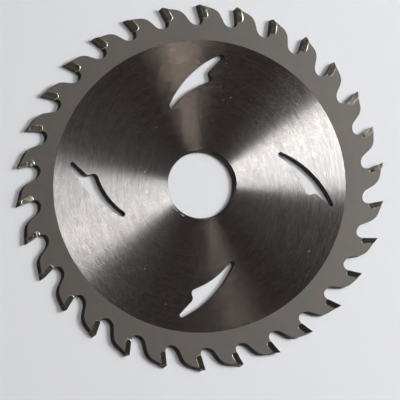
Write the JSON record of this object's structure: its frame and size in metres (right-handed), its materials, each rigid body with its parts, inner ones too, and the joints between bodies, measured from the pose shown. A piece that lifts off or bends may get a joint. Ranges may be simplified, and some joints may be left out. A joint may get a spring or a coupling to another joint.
{
  "type": "circular saw blade",
  "caption": "Thin toothed steel disc with a round arbor bore, hooked expansion slots and brazed hard tips, clamped between flanges on a spindle to saw wood and board.",
  "frame": {"origin": "centre of the arbor bore on the middle plane of the plate", "axes": "+Z along the bore towards the side that is seen; the teeth cut as the blade turns anticlockwise about +Z"},
  "size_m": [0.109, 0.1094, 0.0016],
  "materials": {
    "blade_steel": "ground and polished in rings, satin at the rim",
    "carbide": "ground, dull grey",
    "braze": "bright where it shows"
  },
  "bodies": {
    "root": {"blade_plate": "blade_steel", "braze_seams": "braze", "carbide_tip_01": "carbide", "carbide_tip_02": "carbide", "carbide_tip_03": "carbide", "carbide_tip_04": "carbide", "carbide_tip_05": "carbide", "carbide_tip_06": "carbide", "carbide_tip_07": "carbide", "carbide_tip_08": "carbide", "carbide_tip_09": "carbide", "carbide_tip_10": "carbide", "carbide_tip_11": "carbide", "carbide_tip_12": "carbide", "carbide_tip_13": "carbide", "carbide_tip_14": "carbide", "carbide_tip_15": "carbide", "carbide_tip_16": "carbide", "carbide_tip_17": "carbide", "carbide_tip_18": "carbide", "carbide_tip_19": "carbide", "carbide_tip_20": "carbide", "carbide_tip_21": "carbide", "carbide_tip_22": "carbide", "carbide_tip_23": "carbide", "carbide_tip_24": "carbide", "carbide_tip_25": "carbide", "carbide_tip_26": "carbide", "carbide_tip_27": "carbide", "carbide_tip_28": "carbide", "carbide_tip_29": "carbide", "carbide_tip_30": "carbide"}
  },
  "joints": []
}
